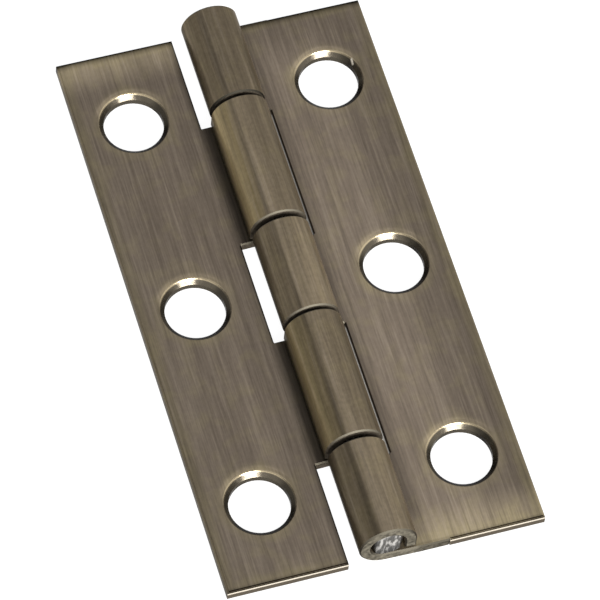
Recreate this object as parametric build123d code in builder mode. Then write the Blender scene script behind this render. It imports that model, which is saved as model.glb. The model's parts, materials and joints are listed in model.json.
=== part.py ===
from build123d import *
import os
from math import asin, atan2, degrees, hypot, sqrt

# Narrow butt hinge pressed from sheet, lying open and flat on its back faces.
# Frame: Y runs along the pin, X across the open leaves, Z up; the back faces are at Z = 0.
# The three-knuckle leaf lies on +X and the two-knuckle leaf on -X.

# Driving dimensions, in millimetres and degrees.

# Leaves
leaf_length = 64.0  # along the pin
three_leaf_reach = 16.6  # pin axis to the outer edge of the three-knuckle leaf
two_leaf_reach = 16.5  # pin axis to the outer edge of the two-knuckle leaf
sheet = 1.2  # thickness of the strip
edge_round = 0.3  # rounding that the press leaves on the upper outer edges
cut_bevel = 0.15  # broken edges of the tab ends and of the cuts between the tabs

# Tabs and the rolls that they become
knuckle_radius = 3.0  # outside of the rolls
knuckle_lift = 0.2  # the rolls stand this much higher than the back faces
bend_radius = 1.5  # bend where a tab leaves the flat leaf, at the middle of the sheet
tip_length = 1.35  # straight end of the strip, below the widest point of the roll
two_tab_width = 14.6  # each knuckle of the two-knuckle leaf
two_tab_pitch = 26.5  # centre to centre of those two knuckles
end_play = 1.0  # the spaces in the three-knuckle leaf are this much wider
slide = 0.1  # the two-knuckle leaf has slid this far along the pin, towards +Y
three_notch_edge = 3.7  # pin axis to the cut edge between the tabs, three-knuckle leaf
two_notch_edge = 3.95  # the same on the two-knuckle leaf
plain_edge = 2.9  # the end edges of the three-knuckle leaf stay square this far past its tabs

# Screw holes
hole_pitch = 23.1  # along the leaf
three_hole_line = 10.65  # pin axis to the holes of the three-knuckle leaf
two_hole_line = 10.55  # pin axis to the holes of the two-knuckle leaf
hole_radius = 3.15
countersink_radius = 3.65
countersink_angle = 90.0
rim_round = 0.12  # softened rim of each countersink

# Pin
pin_clearance = 0.05  # radial, between the pin and the bore of the rolls
pin_recess = 0.1  # each cropped end lies this far inside the knuckle
crop_width = 2.5  # middle of each cropped end, between the sides that the shears pressed in

# Places worked out from the sizes above
axis_height = knuckle_radius + knuckle_lift
roll_radius = knuckle_radius - sheet / 2
bore_radius = knuckle_radius - sheet
half_length = leaf_length / 2
half_tab = two_tab_width / 2
half_space = half_tab + end_play / 2
half_pitch = two_tab_pitch / 2
two_tabs = [
    (slide - half_pitch - half_tab, slide - half_pitch + half_tab),
    (slide + half_pitch - half_tab, slide + half_pitch + half_tab),
]
two_spaces = [
    (-half_length, two_tabs[0][0]),
    (two_tabs[0][1], two_tabs[1][0]),
    (two_tabs[1][1], half_length),
]
three_spaces = [
    (-half_pitch - half_space, -half_pitch + half_space),
    (half_pitch - half_space, half_pitch + half_space),
]
three_tabs = [
    (-half_length, three_spaces[0][0]),
    (three_spaces[0][1], three_spaces[1][0]),
    (three_spaces[1][1], half_length),
]


def rolled_tab(notch_edge, low, high):
    """A tab of the +X leaf between two places along the pin: bent up a little and rolled round the pin."""
    rise = axis_height - sheet / 2 - bend_radius
    across = hypot(notch_edge, rise)
    slope = atan2(rise, notch_edge) + asin((bend_radius - roll_radius) / across)
    ramp_length = sqrt(across**2 - (bend_radius - roll_radius) ** 2)
    with BuildPart() as tab:
        with BuildSketch(Plane.XZ.offset(-high)):
            with BuildLine():
                root = Line((notch_edge + plain_edge, sheet / 2), (notch_edge, sheet / 2))
                bend = JernArc(root @ 1, root % 1, bend_radius, -degrees(slope))
                ramp = Line(bend @ 1, bend @ 1 + (bend % 1) * ramp_length)
                roll = JernArc(ramp @ 1, ramp % 1, roll_radius, degrees(slope) - 270)
                Line(roll @ 1, roll @ 1 + (roll % 1) * tip_length)
            trace(line_width=sheet)
        extrude(amount=high - low)
        chamfer(tab.faces().filter_by(Axis.Y).edges(), cut_bevel)
    return tab.part


def leaf(reach, notch_edge, square_to, hole_line, tabs, spaces):
    """A leaf on the +X side: a flat plate with a rolled tab on each stretch and three countersunk holes."""
    with BuildPart() as body:
        # The plate, with its upper outer edges rounded over
        with BuildSketch():
            with Locations(((square_to + reach) / 2, 0)):
                Rectangle(reach - square_to, leaf_length)
        extrude(amount=sheet)
        upper_edges = body.faces().sort_by(Axis.Z)[-1].edges()
        fillet(upper_edges.sort_by(Axis.X)[1:], edge_round)
        # The stretch beside the end tabs, which keeps square ends
        if square_to > notch_edge:
            with BuildSketch():
                with Locations(((notch_edge + square_to) / 2, 0)):
                    Rectangle(square_to - notch_edge, leaf_length - 2 * cut_bevel)
            extrude(amount=sheet)
        for low, high in tabs:
            add(rolled_tab(notch_edge, low, high))
        # Each cut between the tabs has its upper edge broken
        for low, high in spaces:
            with BuildSketch(Plane.XZ.offset(-high)):
                with Locations((notch_edge, sheet)):
                    RegularPolygon(cut_bevel, 4)
            extrude(amount=high - low, mode=Mode.SUBTRACT)
        with Locations(*[(hole_line, place, sheet) for place in (-hole_pitch, 0, hole_pitch)]):
            CounterSinkHole(hole_radius, countersink_radius, counter_sink_angle=countersink_angle)
        rims = body.edges().filter_by(GeomType.CIRCLE).filter_by_position(Axis.Z, sheet, sheet)
        fillet(rims, rim_round)
    return body.part


with BuildPart() as three_knuckle_leaf:
    square_to = three_notch_edge + plain_edge
    add(leaf(three_leaf_reach, three_notch_edge, square_to, three_hole_line, three_tabs, three_spaces))

with BuildPart() as two_knuckle_leaf:
    add(leaf(two_leaf_reach, two_notch_edge, two_notch_edge, two_hole_line, two_tabs, two_spaces))
    mirror(about=Plane.YZ, mode=Mode.REPLACE)

with BuildPart() as hinge_pin:
    with BuildSketch(Plane.XZ):
        with Locations((0, axis_height)):
            Circle(bore_radius - pin_clearance)
    extrude(amount=half_length - pin_recess, both=True)
    # The shears pressed the two sides of each cropped end in, to a blunt wedge
    with BuildSketch() as outline:
        Rectangle(2 * knuckle_radius, leaf_length - 2 * pin_recess)
        chamfer(outline.vertices(), knuckle_radius - crop_width / 2)
    extrude(amount=axis_height + knuckle_radius, mode=Mode.INTERSECT)

three_knuckle_leaf.part.label = "three_knuckle_leaf"
two_knuckle_leaf.part.label = "two_knuckle_leaf"
hinge_pin.part.label = "hinge_pin"

os.makedirs("parts", exist_ok=True)
export_step(three_knuckle_leaf.part, "parts/three_knuckle_leaf.step")
export_step(two_knuckle_leaf.part, "parts/two_knuckle_leaf.step")
export_step(hinge_pin.part, "parts/hinge_pin.step")
for piece in (three_knuckle_leaf, two_knuckle_leaf, hinge_pin):
    print(piece.part.label, "valid", piece.part.is_valid, "volume", round(piece.part.volume, 1), "mm3")
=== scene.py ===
# %% [markdown]
# # A narrow hinge in antique brass
# The hinge lies open on a white table. It is two leaves of pressed sheet, whose tabs are rolled
# round a steel pin. The solid model holds every shape already, so this script adds what the eye
# still misses: a brushed and aged brass finish, a cropped steel pin, soft light and the camera.

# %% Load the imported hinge
import bpy
import json
import math
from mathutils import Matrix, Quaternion, Vector

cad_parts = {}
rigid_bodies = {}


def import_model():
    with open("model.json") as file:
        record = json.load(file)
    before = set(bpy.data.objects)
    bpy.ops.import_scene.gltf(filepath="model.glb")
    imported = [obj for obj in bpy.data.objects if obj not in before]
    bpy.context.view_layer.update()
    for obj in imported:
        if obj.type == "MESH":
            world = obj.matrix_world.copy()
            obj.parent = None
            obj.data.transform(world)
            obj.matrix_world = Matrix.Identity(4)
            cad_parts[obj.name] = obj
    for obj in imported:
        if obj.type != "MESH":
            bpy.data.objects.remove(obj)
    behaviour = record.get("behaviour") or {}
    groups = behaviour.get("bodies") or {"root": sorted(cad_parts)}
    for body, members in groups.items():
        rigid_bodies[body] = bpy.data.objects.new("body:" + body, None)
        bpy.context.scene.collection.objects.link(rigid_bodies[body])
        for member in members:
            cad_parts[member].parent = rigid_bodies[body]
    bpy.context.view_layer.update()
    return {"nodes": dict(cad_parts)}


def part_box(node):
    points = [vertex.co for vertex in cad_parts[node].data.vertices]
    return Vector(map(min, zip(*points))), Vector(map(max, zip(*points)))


for leftover in list(bpy.data.objects):
    bpy.data.objects.remove(leftover)
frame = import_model()
for name in frame["nodes"]:
    low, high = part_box(name)
    print(name, "is", [round(1000 * side, 1) for side in high - low], "mm")

# %% [markdown]
# ## The camera
# The photograph was taken from well above the near end, with a long lens, so that parallel edges
# stay almost parallel. A camera could be placed by eye and nudged, but it is easier to say where it
# looks, from which side, how steeply, how far off and how much it is turned about its own axis.

# %% Camera
picture_pixels = 600
focal_pixels = 5021.3
look_at = Vector((0.0003096, -0.0010874, 0.0))
camera_side = math.radians(-22.1343)
camera_height = math.radians(59.5470)
camera_roll = math.radians(6.2856)
camera_distance = 0.513604

camera = bpy.data.objects.new("camera", bpy.data.cameras.new("camera"))
bpy.context.scene.collection.objects.link(camera)
bpy.context.scene.camera = camera
towards_camera = Vector((
    math.sin(camera_side) * math.cos(camera_height),
    -math.cos(camera_side) * math.cos(camera_height),
    math.sin(camera_height),
))
camera.location = look_at + towards_camera * camera_distance
camera.rotation_mode = "QUATERNION"
level = (-towards_camera).to_track_quat("-Z", "Y")
camera.rotation_quaternion = level @ Quaternion((0, 0, 1), camera_roll)
camera.data.sensor_width = 36.0
camera.data.lens = focal_pixels / picture_pixels * camera.data.sensor_width
camera.data.clip_start = 0.01
camera.data.clip_end = 20.0
print("lens", round(camera.data.lens, 1), "mm at", round(camera_distance, 3), "m")

# %% [markdown]
# ## Shader maths as plain expressions
# A finish is built from masks, noise and sums, and a tree of Math nodes soon gets hard to read.
# Here one small class wraps a socket, so that `1 - mask * 0.5` adds the two Math nodes by itself.
# Almost every mask is a `fade`: a soft step between two values of a place in millimetres, or of a
# direction, where 1 faces that way fully. The number that a mask is then multiplied by says how
# strongly it shows.

# %% Sockets that can be added and multiplied
class Wire:
    """An output socket. Arithmetic on it adds Math nodes to its tree."""

    def __init__(self, tree, socket):
        self.tree = tree
        self.socket = socket

    def node(self, kind, settings=None, sockets=None, output=0):
        """Adds a node: its settings first, then the values or links of its sockets."""
        return add_node(self.tree, kind, settings, sockets, output)

    def math(self, operation, *values):
        sockets = dict(enumerate(values))
        return self.node("ShaderNodeMath", {"operation": operation}, sockets)

    def __add__(self, other):
        return self.math("ADD", self, other)

    def __radd__(self, other):
        return self.math("ADD", other, self)

    def __sub__(self, other):
        return self.math("SUBTRACT", self, other)

    def __rsub__(self, other):
        return self.math("SUBTRACT", other, self)

    def __mul__(self, other):
        return self.math("MULTIPLY", self, other)

    def __rmul__(self, other):
        return self.math("MULTIPLY", other, self)

    def abs(self):
        return self.math("ABSOLUTE", self)

    def root(self):
        return self.math("SQRT", self)

    def smaller(self, other):
        return self.math("MINIMUM", self, other)

    def larger(self, other):
        return self.math("MAXIMUM", self, other)

    def fade(self, start, end):
        """0 up to start, 1 from end on and a soft step between. End may be the lower of the two."""
        sockets = {"Value": self, "From Min": start, "From Max": end}
        return self.node("ShaderNodeMapRange", {"interpolation_type": "SMOOTHSTEP"}, sockets)


# %% [markdown]
# ## Any other node
# Each kind of node could get a function of its own, but they all need the same three things: their
# type, their settings, and what goes into their sockets. A value is written into a socket and a
# wire is linked to it. The settings come first, because some of them change which sockets there are.

# %% Nodes of any kind
def add_node(tree, kind, settings=None, sockets=None, output=0):
    """Adds a node to a tree and gives back one of its outputs."""
    made = tree.nodes.new(kind)
    for name, value in (settings or {}).items():
        if name == "stops":
            for stop, (place, colour) in zip(ramp_stops(made, len(value)), value):
                stop.position = place
                stop.color = colour
        else:
            setattr(made, name, value)
    for name, value in (sockets or {}).items():
        if isinstance(value, Wire):
            tree.links.new(value.socket, made.inputs[name])
        else:
            made.inputs[name].default_value = value
    return Wire(tree, made.outputs[output])


def ramp_stops(made, count):
    """The stops of a Color Ramp node, once there are as many as asked."""
    while len(made.color_ramp.elements) < count:
        made.color_ramp.elements.new(0.5)
    return made.color_ramp.elements


# %% [markdown]
# ## Colours and materials
# A Math node would turn a colour grey, so two colours are blended by a Mix node, and a colour is
# made lighter or darker by a Vector Math node. Each material starts from an empty tree.

# %% Colours and materials
def blend_colours(factor, first, second):
    """The first colour where the factor is 0, and the second where it is 1.

    The Mix node has sockets of the same names for numbers, so those for colours go by number.
    """
    first_socket, second_socket, blended = 6, 7, 2
    sockets = {"Factor": factor, first_socket: first, second_socket: second}
    return factor.node("ShaderNodeMix", {"data_type": "RGBA"}, sockets, blended)


def scaled(vector, factor):
    """A colour or another vector times a number."""
    return vector.node("ShaderNodeVectorMath", {"operation": "SCALE"}, {0: vector, "Scale": factor})


def new_material(name):
    """A material with an empty tree, and its output's surface socket."""
    material = bpy.data.materials.new(name)
    material.use_nodes = True
    tree = material.node_tree
    tree.nodes.clear()
    surface = tree.nodes.new("ShaderNodeOutputMaterial").inputs["Surface"]
    return material, tree, surface


# %% [markdown]
# ## The table
# A shop picture has a pure white ground. A stronger lamp would bleach the metal with it, so the
# table is a pale matt sheet that also glows for the camera and for reflections. Most of what is
# seen is glow and the rest is lit, so the soft shadow under the hinge stays.

# %% Table
table_reach = 3.0
table_gap = 0.00003
glow_share = 0.85
glow_strength = 1.12
table_white = (0.9, 0.9, 0.9, 1)

bpy.ops.mesh.primitive_plane_add(size=2 * table_reach, location=(0, 0, -table_gap))
table = bpy.context.object
table.name = "table"
matt_white, tree, surface = new_material("matt_white_table")
light_path = tree.nodes.new("ShaderNodeLightPath")
seen = [Wire(tree, light_path.outputs[f"Is {kind} Ray"]) for kind in ("Camera", "Glossy", "Transmission")]
seen_share = seen[0].larger(seen[1]).larger(seen[2]) * glow_share
lit = add_node(tree, "ShaderNodeBsdfDiffuse", {}, {"Color": table_white})
glow = add_node(tree, "ShaderNodeEmission", {}, {"Color": (1, 1, 1, 1), "Strength": glow_strength})
shown = add_node(tree, "ShaderNodeMixShader", {}, {"Fac": seen_share, 1: lit, 2: glow})
tree.links.new(shown.socket, surface)
table.data.materials.append(matt_white)
print("table", 2 * table_reach, "m across")

# %% [markdown]
# ## The room
# Metal shows its room, so an even grey would leave it flat. The room is a dim grey above. It is
# pale low down on the right and the left, where the sides of the rolls look, and low down at the
# near end, where the countersinks look.

# %% Room
room_dark = (0.27, 0.27, 0.28, 1)
room_right = (1.40, 1.38, 1.33, 1)
room_left = (0.80, 0.79, 0.77, 1)
room_near = (1.7, 1.67, 1.6, 1)
right_side = Vector((0.970, 0.194, 0.146)).normalized()
left_side = Vector((-0.860, 0.470, 0.190)).normalized()

world = bpy.data.worlds.new("room")
bpy.context.scene.world = world
world.use_nodes = True
tree = world.node_tree
tree.nodes.clear()
direction = add_node(tree, "ShaderNodeTexCoord", {}, {}, "Generated")


def facing(side):
    """How much a direction of the room agrees with a side, from -1 to 1."""
    sockets = {0: direction, 1: side}
    return direction.node("ShaderNodeVectorMath", {"operation": "DOT_PRODUCT"}, sockets, "Value")


along = facing(Vector((0, 1, 0)))
up = facing(Vector((0, 0, 1)))
room_colour = blend_colours(facing(right_side).fade(0.45, 0.90), room_dark, room_right)
room_colour = blend_colours(facing(left_side).fade(0.75, 1.0), room_colour, room_left)
room_colour = blend_colours(along.fade(0.1, -0.3) * up.fade(0.75, 0.5), room_colour, room_near)
background = add_node(tree, "ShaderNodeBackground", {}, {"Color": room_colour, "Strength": 1.0})
tree.links.new(background.socket, tree.nodes.new("ShaderNodeOutputWorld").inputs["Surface"])
print("room of", len(tree.nodes), "nodes")


# %% [markdown]
# ## The lamps
# A broad soft panel hangs beyond the hinge and over the flat leaves, and a much brighter one stands
# low at the near end. That one glints in the far halves of the countersinks and along the rounded
# near edges. A bare bulb would glint as dots, so both are soft boxes, and the near one is small
# enough to leave its glints short and crisp.

# %% Lamps
def panel(name, side, height, distance, across, up, brightness, tint=(1, 1, 1)):
    """A soft box that faces the hinge from a compass side and a height, both in degrees."""
    lamp = bpy.data.lights.new(name, "AREA")
    lamp.shape = "RECTANGLE"
    lamp.size = across
    lamp.size_y = up
    lamp.color = tint
    lamp.energy = brightness * math.pi * across * up
    holder = bpy.data.objects.new(name, lamp)
    bpy.context.scene.collection.objects.link(holder)
    azimuth = math.radians(side)
    rise = math.radians(height)
    out = Vector((math.cos(azimuth) * math.cos(rise), math.sin(azimuth) * math.cos(rise), math.sin(rise)))
    holder.location = out * distance
    holder.rotation_mode = "QUATERNION"
    holder.rotation_quaternion = out.to_track_quat("Z", "Y")
    holder.visible_camera = False
    print(name, "gives", round(lamp.energy, 2), "W")


panel("far_panel", side=82, height=68, distance=0.9, across=0.8, up=0.5, brightness=0.82)
panel(
    "near_strip", side=-80.5, height=29, distance=1.4,
    across=0.88, up=0.62, brightness=34.5, tint=(1.0, 0.98, 0.95),
)

# %% [markdown]
# ## Where a point is on the hinge
# The leaves are steel with a brass plating that was darkened, then brushed along the pin and
# lacquered. A photo of metal could be wrapped on, but it would stretch over the rolls. Patterns
# that start from the point itself, in millimetres along the hinge's own axes, run through flat and
# rolled metal alike, and stay on a leaf when it swings.

# %% Coordinates in millimetres
def place_on(tree):
    """Where a point is on the hinge in mm, and its normal, both in the hinge's own frame."""
    made = tree.nodes.new("ShaderNodeTexCoord")
    in_metres = Wire(tree, made.outputs["Object"])
    return scaled(in_metres, 1000.0), Wire(tree, made.outputs["Normal"])


def parts_of(vector):
    """The three numbers of a vector."""
    return [vector.node("ShaderNodeSeparateXYZ", {}, {0: vector}, axis) for axis in range(3)]


# %% [markdown]
# ## One finish for two leaves
# Both leaves were plated and brushed alike, but they are worn and lit a little differently. Two
# materials could be built one after the other, and would soon drift apart. Here each step is made
# once, for both leaves in turn, and a leaf carries what the steps make from one to the next.

# %% The two leaves
class Leaf:
    """The finish of a leaf. outward is 1 or -1, the way that the leaf lies from the pin."""

    def __init__(self, node, finish, outward, hole_line, outer_edge, square_edge):
        self.node = node
        self.outward = outward
        self.hole_line = hole_line
        self.outer_edge = outer_edge
        self.square_edge = square_edge
        self.material, self.tree, self.surface = new_material(finish)
        self.place, normal = place_on(self.tree)
        x, self.y, self.z = parts_of(self.place)
        self.x = x * outward
        self.facing_x, self.facing_y, self.facing_z = parts_of(normal)


three_leaf = Leaf(
    "three_knuckle_leaf", "antique_brass_three_knuckle",
    outward=1, hole_line=10.65, outer_edge=16.6, square_edge=6.6,
)
two_leaf = Leaf(
    "two_knuckle_leaf", "antique_brass_two_knuckle",
    outward=-1, hole_line=10.55, outer_edge=16.5, square_edge=3.95,
)
leaves = [three_leaf, two_leaf]


def tell(step):
    print(step, "bring the leaves to", [len(leaf.tree.nodes) for leaf in leaves], "nodes")


tell("coordinates")

# %% [markdown]
# ## Strokes and patches
# A brush leaves long fine strokes of lighter and darker metal, and the bath before it left cloudy
# patches. Both are noise in three dimensions. For the strokes it is drawn out along the pin and
# turned by a hair, because nobody brushes quite straight.

# %% Strokes and patches
brush_tilt = math.radians(0.3)


def noise(place, scale, roughness):
    """Noise from 0 to 1 that runs through the metal."""
    sockets = {"Vector": place, "Scale": scale, "Detail": 2.0, "Roughness": roughness}
    return place.node("ShaderNodeTexNoise", {"noise_dimensions": "3D"}, sockets)


def strokes(place, per_mm, stretch, offset=0.0):
    """Brush strokes along Y: so many to a millimetre across, and stretched that much along."""
    sockets = {
        "Vector": place,
        "Location": (offset, offset, offset),
        "Rotation": (0, 0, brush_tilt),
        "Scale": (per_mm, per_mm / stretch, per_mm),
    }
    return noise(place.node("ShaderNodeMapping", {}, sockets), 1.0, 0.55)


def patches(place, per_mm, offset=0.0):
    """Cloudy patches, the same size in all directions."""
    sockets = {"Vector": place, "Location": (offset, offset, offset)}
    return noise(place.node("ShaderNodeMapping", {}, sockets), per_mm, 0.5)


for leaf in leaves:
    leaf.fine = strokes(leaf.place, 3.2, 38)
    leaf.hair = strokes(leaf.place, 6.5, 18, offset=11.0)
    leaf.broad = strokes(leaf.place, 0.5, 44, offset=7.0)
    leaf.clouds = patches(leaf.place, 0.45, offset=3.0)
    leaf.mottle = patches(leaf.place, 2.4, offset=5.0)
tell("strokes and patches")

# %% [markdown]
# ## The regions of a leaf
# The flat plate, the rolls and the countersinks each look different. Their faces could be selected
# and given slots, but then each region would end in a hard line. Here a region is a mask worked out
# from the place. The holes are one pitch apart, so one distance serves all three.

# %% Regions
leaf_end = 32.0
sheet = 1.2
hole_pitch = 23.1
countersink_radius = 3.65

for leaf in leaves:
    leaf.flat_side = leaf.x.fade(2.9, 3.3)
    leaf.on_roll = 1 - leaf.flat_side
    turns = leaf.y * (1 / hole_pitch)
    leaf.along_hole = leaf.y - turns.math("ROUND", turns) * hole_pitch
    across_hole = leaf.x - leaf.hole_line
    leaf.from_hole = (across_hole * across_hole + leaf.along_hole * leaf.along_hole).root()
    leaf.in_hole = leaf.from_hole.fade(countersink_radius + 0.08, countersink_radius - 0.06)
    leaf.off_hole = 1 - leaf.in_hole
    leaf.outside = leaf.flat_side * leaf.off_hole
tell("regions")

# %% [markdown]
# ## Dark plating and gold
# The bath left a grey-brown skin. Brushing wore it off along the borders, round the countersinks
# and at one end of each leaf, where the stroke ended, and there the gold shows. A random mask could
# scatter the gold, but wear follows the shape, so the mask adds up those places.

# %% Plating
umber_grey = (0.122, 0.099, 0.077, 1)
old_gold = (0.160, 0.134, 0.083, 1)
three_leaf.bright_end, two_leaf.bright_end = -1, 1

for leaf in leaves:
    from_edge = (leaf_end - leaf.y.abs()).smaller(leaf.outer_edge - leaf.x)
    border = from_edge.fade(1.5, 0.5) * leaf.flat_side
    rim_glow = leaf.from_hole.fade(countersink_radius + 1.3, countersink_radius + 0.1)
    to_bright_end = leaf.y * leaf.bright_end
    leaf.last_brushed = to_bright_end.fade(leaf_end - 5.0, leaf_end - 1.2) * leaf.flat_side
    cloudy = leaf.clouds.fade(0.45, 0.70)
    gold_share = cloudy * 0.4 + border * 0.6 + rim_glow * 0.5 + leaf.last_brushed * 0.5
    leaf.colour = blend_colours(gold_share.smaller(1.0), umber_grey, old_gold)
tell("plating and gold")

# %% [markdown]
# ## Gold on the rolls, and brushing
# The rolls stand proud, so they were handled and brushed more, and show more gold. Their left
# sides get more gold still, a painted warm sheen. Over all of it go the strokes, light ones and
# dark ones, fine and broad.
# Each is blended in weakly. One strong noise would look like wood.

# %% Brushing
roll_gold = (0.158, 0.126, 0.066, 1)
stroke_light = (0.192, 0.160, 0.124, 1)
stroke_dark = (0.068, 0.055, 0.043, 1)
three_leaf.left_wear, two_leaf.left_wear = 0.15, 1.3
hair_contrast = 0.55

for leaf in leaves:
    leaf.left_flank = leaf.facing_x.fade(-0.30, -0.70)
    # The rolls get gold from wear, and their left sides get more of it as a painted warm sheen.
    roll_share = leaf.on_roll * (0.35 + leaf.left_flank * leaf.left_wear * 0.4)
    leaf.colour = blend_colours(roll_share, leaf.colour, roll_gold)
    for stroke_share, stroke_colour in (
        (leaf.fine.fade(0.48, 0.72) * 0.35, stroke_light),
        (leaf.fine.fade(0.52, 0.30) * 0.35, stroke_dark),
        (leaf.broad.fade(0.50, 0.30) * 0.24, stroke_dark),
        (leaf.broad.fade(0.50, 0.70) * 0.16, stroke_light),
    ):
        leaf.colour = blend_colours(stroke_share, leaf.colour, stroke_colour)
    speckle = (leaf.mottle - 0.5) * (0.2 + leaf.on_roll * 0.2)
    leaf.colour = scaled(leaf.colour, 1 + speckle + (leaf.hair - 0.5) * hair_contrast)
tell("strokes on the plating")

# %% [markdown]
# ## The tone of the rolls
# Each roll took the finish a little differently. Their left and right sides are painted lighter
# and darker where light falls on them, a painted sheen and painted shade, with a thin painted dark
# reflection high on the left. One tone for all would be simpler, but the five would then look like
# one tube. A ramp along the pin holds a tone for each. It holds half of it, because a ramp's
# colours are best kept below 1.

# %% Tone of the rolls
three_leaf.roll_tones = [(-26.4, 0.49), (-14.0, 0.58), (0.0, 0.63), (14.0, 0.54), (26.0, 0.43)]
two_leaf.roll_tones = [(-6.0, 0.54), (6.0, 0.66)]
three_leaf.left_tone, two_leaf.left_tone = -0.25, -0.12
three_leaf.right_tone, two_leaf.right_tone = 0.0, -0.24
right_sheen = 1.1
reflection_depth = 0.23


def tone_along(leaf):
    """The tone of the rolls at each place along the pin."""
    stops = [
        ((spot + leaf_end) / (2 * leaf_end), (half_tone, half_tone, half_tone, 1))
        for spot, half_tone in leaf.roll_tones
    ]
    share_along = (leaf.y + leaf_end) * (0.5 / leaf_end)
    return leaf.y.node("ShaderNodeValToRGB", {"stops": stops}, {"Fac": share_along}) * 2


for leaf in leaves:
    facing_x = leaf.facing_x
    # The steep sides of the rolls are painted lighter and darker: painted sheen and painted shade.
    side_sheen = 1 + facing_x.fade(-0.75, -1.0) * leaf.left_wear + facing_x.fade(0.65, 1.0) * right_sheen
    left_side_tone = leaf.left_flank * leaf.y.fade(26, 10) * leaf.left_tone
    sides = 1 + left_side_tone + facing_x.fade(0.0, 0.35) * leaf.right_tone
    # A thin painted dark reflection high on the left side of each roll.
    dark_reflection = facing_x.fade(-0.53, -0.44) * facing_x.fade(-0.30, -0.39)
    sides = sides + (leaf.broad - 0.5) * 0.9 - dark_reflection * reflection_depth
    leaf.colour = scaled(leaf.colour, 1 + leaf.on_roll * (tone_along(leaf) * side_sheen * sides - 1))
tell("tones of the rolls")

# %% [markdown]
# ## The tone of the plates
# A plate is painted lighter beside its rolls, a painted sheen, and beyond the far rim of each hole,
# a painted glow. It is also lighter at the end that was brushed last. It is painted darker along its
# ends and its outer edge, and in the bend under the rolls, as painted shade. Lamps could make some
# of this, but it would then slide over a leaf that swings. So these are painted into the colour,
# and they go on with the next step.

# %% Tone of the plates
three_leaf.paler, two_leaf.paler = 0.50, 0.12
three_leaf.crevice, two_leaf.crevice = 0.15, 0.75

for leaf in leaves:
    x, y, z = leaf.x, leaf.y, leaf.z
    # Painted sheen beside the rolls.
    sheen_beside_roll = x.fade(3.4, 6.0) * x.fade(14.5, 8.0) * y.fade(leaf_end, 25.0)
    round_hole = leaf.from_hole.fade(countersink_radius + 0.8, countersink_radius + 0.1)
    # Painted glow beyond the far rim of each hole, added to the tone below.
    glow_beyond_hole = leaf.along_hole.fade(1.5, 3.2) * round_hole
    tone = 1 + sheen_beside_roll * (1 - leaf.last_brushed * 0.6) * leaf.paler
    tone = tone + leaf.last_brushed * 0.66 + glow_beyond_hole * 0.6
    # Painted shade along the ends and the outer edge.
    end_shade = y.abs().fade(leaf_end - 0.55, leaf_end - 0.30) * leaf.outside
    far_shade = y.fade(leaf_end - 1.1, leaf_end - 0.2) * leaf.outside
    side_shade = x.fade(leaf.outer_edge - 1.5, leaf.outer_edge - 0.5)
    tone = tone * (1 - end_shade * 0.2 - far_shade * 0.55 - side_shade * 0.15)
    # Painted shade in the bend under the rolls.
    bend_shade = x.fade(4.9, 3.3) * x.fade(2.5, 2.8) * z.fade(3.0, 2.2)
    leaf.tone = tone * (1 - bend_shade * leaf.crevice)
tell("tones of the plates")

# %% [markdown]
# ## The rounded end edges
# The press rounded the upper edges of each plate. The upper part of those at the ends is painted
# dark, as painted shade. Lower down, the near ends were polished bright. The direction of the surface
# could tell the two apart, but a height above the table keeps their border straight.

# %% Rounded end edges
polished_edge = (0.66, 0.60, 0.50, 1)
edge_shade_depth = 0.96

for leaf in leaves:
    z = leaf.z
    leaf.rounded = leaf.outside * leaf.from_hole.fade(countersink_radius + 0.1, countersink_radius + 0.3)
    # Painted shade on the upper part of the rounded end edges.
    leaf.shaded = leaf.facing_y.abs().fade(0.08, 0.40) * z.fade(sheet - 0.24, sheet - 0.16) * leaf.rounded
    leaf.colour = scaled(leaf.colour, leaf.tone * (1 - leaf.shaded * edge_shade_depth))
    leaf.beyond_square = leaf.x.fade(leaf.square_edge - 0.1, leaf.square_edge + 0.1)
    near_end = leaf.facing_y.fade(-0.5, -0.7) * leaf.rounded * leaf.beyond_square
    leaf.polished = near_end * z.fade(sheet - 0.16, sheet - 0.24) * z.fade(sheet - 0.46, sheet - 0.38)
tell("rounded edges")

# %% [markdown]
# ## Cut ends
# Near the pin the strip was sheared square, and the cut is duller and browner than the faces. At
# the two ends of the hinge it is greyer and mottled. A cut faces along the pin, so its mask comes
# from the normal, and the distance from the pin says where the square cut gives way to the rounded
# edge.

# %% Cut ends
brown_cut = (0.090, 0.076, 0.058, 1)
grey_cut = (0.145, 0.132, 0.103, 1)

for leaf in leaves:
    endwise = leaf.facing_y.abs()
    square = leaf.x.fade(leaf.square_edge + 0.1, leaf.square_edge - 0.1)
    leaf.cut = endwise.fade(0.5, 0.68) * leaf.off_hole * square
    plain_cut = endwise.fade(0.88, 0.97) * leaf.off_hole * leaf.beyond_square
    leaf.at_tip = leaf.y.abs().fade(leaf_end - 0.3, leaf_end - 0.2)
    leaf.colour = blend_colours(leaf.cut.larger(plain_cut), leaf.colour, brown_cut)
    leaf.colour = blend_colours(leaf.cut * endwise.fade(0.8, 0.95) * leaf.at_tip, leaf.colour, grey_cut)
    torn = (leaf.clouds - 0.5) * 0.8 + (leaf.mottle - 0.5) * 1.6 - leaf.at_tip * 0.30
    leaf.colour = scaled(leaf.colour, 1 + leaf.cut * torn)
tell("cut ends")

# %% [markdown]
# ## Broken edges of the cuts
# The sharp edge was taken off each cut, which left a thin bevel. It is grey on top. It is painted
# darker, as painted shade, and more so towards both ends of the hinge, most of all the far one. The
# end of the plate beside the roll is darker as well. The bevels are in the solids, so a normal that
# lies between two faces finds them.

# %% Broken edges
plate_end_depth = 0.4

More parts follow.
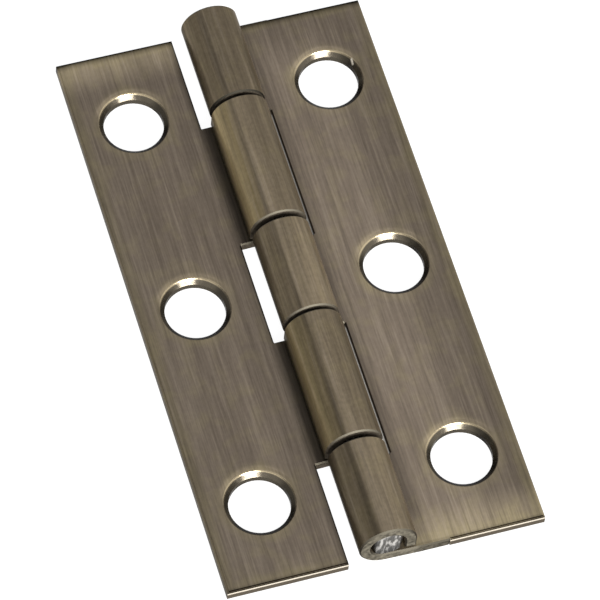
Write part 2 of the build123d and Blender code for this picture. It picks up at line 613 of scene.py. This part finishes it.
for leaf in leaves:
    bevel = leaf.cut * leaf.facing_y.abs().fade(0.92, 0.8)
    leaf.colour = blend_colours(bevel * leaf.facing_z.fade(0.2, 0.6), leaf.colour, grey_cut)
    # Painted shade on the bevels, stronger towards both ends.
    bevel_shade = 0.35 + leaf.y.fade(14, 22) * 0.5 + leaf.y.fade(-30, -31) * 0.2
    leaf.colour = scaled(leaf.colour, 1 - bevel * bevel_shade)
    plate_end = leaf.cut * leaf.at_tip * leaf.x.fade(3.0, 3.6)
    leaf.colour = scaled(leaf.colour, 1 - plate_end * plate_end_depth)
tell("broken edges")

# %% [markdown]
# ## The slots between the tabs
# The edge that faces the pin in each slot, like the other sides across the plate away from its
# outer edge, is in the dark, and it is painted darker as painted shade. A lamp can't reach in there,
# so a pale line along the lower half of that edge, lighter towards the near end, is painted light
# from the white table. Last, the polish of the near ends goes on, with the mask that was made for
# it above.

# %% Slots
slot_table_light = (0.64, 0.61, 0.55, 1)
slot_shade_depth = 0.6

for leaf in leaves:
    sideways = leaf.facing_x.abs().fade(0.75, 0.95)
    inner_side = sideways * leaf.x.fade(leaf.outer_edge - 0.2, leaf.outer_edge - 0.4)
    side_face = inner_side * leaf.off_hole * leaf.z.fade(sheet + 0.1, sheet)
    to_pin = (leaf.facing_x * leaf.outward).fade(-0.5, -0.65)
    in_slot = to_pin * leaf.flat_side * leaf.off_hole
    # Painted shade on the slot edges and the inner sides of the plate.
    leaf.colour = scaled(leaf.colour, 1 - side_face.larger(in_slot) * slot_shade_depth)
    # Painted light from the white table along the lower half of the slot edge.
    painted_slot_light = side_face * in_slot * leaf.z.fade(0.90, 0.70) * (0.55 + leaf.y.fade(0, -12) * 0.45)
    leaf.colour = blend_colours(painted_slot_light, leaf.colour, slot_table_light)
    leaf.colour = blend_colours(leaf.polished, leaf.colour, polished_edge)
tell("slots and polish")

# %% [markdown]
# ## The countersinks
# The drill cut the cones, the bath darkened them, and no brush reached them, so they are dark and
# smooth. Their rims show gold from wear, painted on the far side only, where it is also a painted
# highlight that brightens the lamp's glint. The near part of a cone is painted darker, the rest but
# its far end a little darker, and the outer far part on the three-knuckle leaf darker too, all as
# painted shade. A cone's colour could come from its slope, but the distance from the middle of the
# hole gives a cleaner circle.

# %% Countersinks
patina = (0.064, 0.056, 0.043, 1)
rim_gold_and_glint = (0.36, 0.30, 0.20, 1)
three_leaf.cone_shade, two_leaf.cone_shade = 0.5, 0.0

for leaf in leaves:
    along_hole, from_hole = leaf.along_hole, leaf.from_hole
    rim = from_hole.fade(countersink_radius + 0.12, countersink_radius + 0.04)
    # Gold rims from wear, on the far side only: partly a painted highlight at the lamp's glint.
    leaf.colour = blend_colours(rim * along_hole.fade(0.3, 3.0), leaf.colour, rim_gold_and_glint)
    cone = from_hole.fade(countersink_radius - 0.02, countersink_radius - 0.16)
    leaf.colour = blend_colours(cone, leaf.colour, patina)
    # Painted shade on the near part of each cone, and a little on all but its far end.
    cone_side_shade = along_hole.fade(-0.8, -2.2) * 0.4 + along_hole.fade(2.6, 1.0) * 0.3
    leaf.colour = scaled(leaf.colour, 1 - leaf.in_hole * cone_side_shade)
    # Painted shade on the outer far part of the cones.
    outer_far = (leaf.x - leaf.hole_line).fade(1.6, 2.6) * along_hole.fade(0.6, 1.8)
    leaf.colour = scaled(leaf.colour, 1 - leaf.in_hole * outer_far * leaf.cone_shade)
tell("countersinks")

# %% [markdown]
# ## One nick
# Something has knocked the plating off in the far countersink of the three-knuckle leaf. A dent
# would be too small to see, so the nick is a spot of bare metal.

# %% Nick
bare_nick = (0.55, 0.51, 0.44, 1)
nick_x, nick_y = 13.72, 24.72

nick_across = (three_leaf.x - nick_x).abs().fade(0.14, 0.03)
nick_along = (three_leaf.y - nick_y).abs().fade(0.42, 0.22)
three_leaf.colour = blend_colours(nick_across * nick_along, three_leaf.colour, bare_nick)
tell("colours")

# %% [markdown]
# ## Gloss
# Brushed metal has a soft gloss, a little sharper in its light strokes and on the polished edge. A
# shear leaves a cut almost matt, and a drill leaves a cone glossy, with rougher clouds in it.

# %% Gloss
plate_roughness = 0.34
cut_roughness = 0.65
cone_roughness = 0.20

for leaf in leaves:
    brushed = plate_roughness - leaf.fine.fade(0.45, 0.75) * 0.06 - leaf.polished * 0.06
    sheared = brushed * (1 - leaf.cut) + leaf.cut * cut_roughness
    drilled = cone_roughness + leaf.mottle.fade(0.45, 0.7) * 0.12
    leaf.roughness = sheared * leaf.off_hole + leaf.in_hole * drilled
tell("gloss")

# %% [markdown]
# ## Relief and the shader
# The strokes are a few thousandths of a millimetre deep, and the far rim of each hole is rolled
# over by about a tenth of one. Neither changes an outline, so a Bump node tilts the normal and the
# mesh stays as it is. The rim's slope has to end where the countersink starts, or it would show as
# a thin dark ring.

# %% Relief and shader
relief_depth = 0.00012
stroke_height = 0.055
plate_metallic = 0.8
# The band of painted edge shade is made more metallic, so that it stays dark.
edge_shade_metallic = 0.2
specular_level = 0.3
specular_tint = (0.35, 0.35, 0.35, 1)

for leaf in leaves:
    rolled_rim = leaf.from_hole.fade(countersink_radius + 0.5, countersink_radius)
    rolled_rim = rolled_rim * leaf.along_hole.fade(0.0, 3.0)
    height = (leaf.fine * 0.7 + leaf.broad * 0.3) * stroke_height - rolled_rim
    bump_sockets = {"Strength": 1.0, "Distance": relief_depth, "Height": height}
    sockets = {
        "Base Color": leaf.colour,
        "Metallic": plate_metallic + leaf.shaded * edge_shade_metallic,
        "Roughness": leaf.roughness,
        "Specular IOR Level": specular_level,
        "Specular Tint": specular_tint,
        "Normal": leaf.place.node("ShaderNodeBump", {}, bump_sockets),
    }
    metal = add_node(leaf.tree, "ShaderNodeBsdfPrincipled", {}, sockets)
    leaf.tree.links.new(metal.socket, leaf.surface)
tell("relief and shader")

# %% [markdown]
# ## The pin
# The pin is bright drawn steel wire, cropped to length. Each end is torn and crushed a little where
# the shears went through, and dirt dulls it in streaks that lean with the cut. Even patches would
# look like rust, so they are squeezed and tilted first. The end is painted darker at its left and
# towards its foot, a painted shadow of the bore round it.

# %% The finish of the pin
bright_steel = (0.56, 0.54, 0.51, 1)
dull_steel = (0.085, 0.080, 0.072, 1)
shear_offset = (1.3, 0.0, 0.4)
shear_tilt = 0.35
shear_squeeze = (2.6, 1.0, 0.8)

cropped_steel, tree, surface = new_material("cropped_pin_steel")
place, normal = place_on(tree)
x, y, z = parts_of(place)
facing_y = parts_of(normal)[1]
sockets = {
    "Vector": place,
    "Location": shear_offset,
    "Rotation": (0.0, shear_tilt, 0.0),
    "Scale": shear_squeeze,
}
torn = patches(place.node("ShaderNodeMapping", {}, sockets), 1.0)
colour = blend_colours(torn.fade(0.44, 0.66), dull_steel, bright_steel)
# Painted shadow of the bore at the left and the foot of the pin.
colour = scaled(colour, (1 - x.fade(-0.7, -1.5) * 0.75) * (1 - z.fade(3.4, 1.6) * 0.65))
at_end = facing_y.abs().fade(0.3, 0.6)
bump_sockets = {"Strength": 0.8, "Distance": 0.0002, "Height": torn * at_end}
sockets = {
    "Base Color": colour,
    "Metallic": 1.0,
    "Roughness": 0.36 - torn.fade(0.4, 0.7) * 0.12,
    "Normal": place.node("ShaderNodeBump", {}, bump_sockets),
}
steel = add_node(tree, "ShaderNodeBsdfPrincipled", {}, sockets)
tree.links.new(steel.socket, surface)
print("the pin's steel has", len(tree.nodes), "nodes")

# %% [markdown]
# ## Putting the finishes on
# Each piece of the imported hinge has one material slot. Its plain material could be edited, but a
# new one in the slot leaves the solid's own alone.

# %% Put the finishes on
finishes = {leaf.node: leaf.material for leaf in leaves}
finishes["hinge_pin"] = cropped_steel
for name, finish in finishes.items():
    frame["nodes"][name].material_slots[0].material = finish
    print(name, "wears", finish.name)

# %% [markdown]
# ## Colours as written
# The standard view shows a colour as it is written, where a film-like one would grey the white
# table.

# %% Colour management
bpy.context.scene.view_settings.view_transform = "Standard"
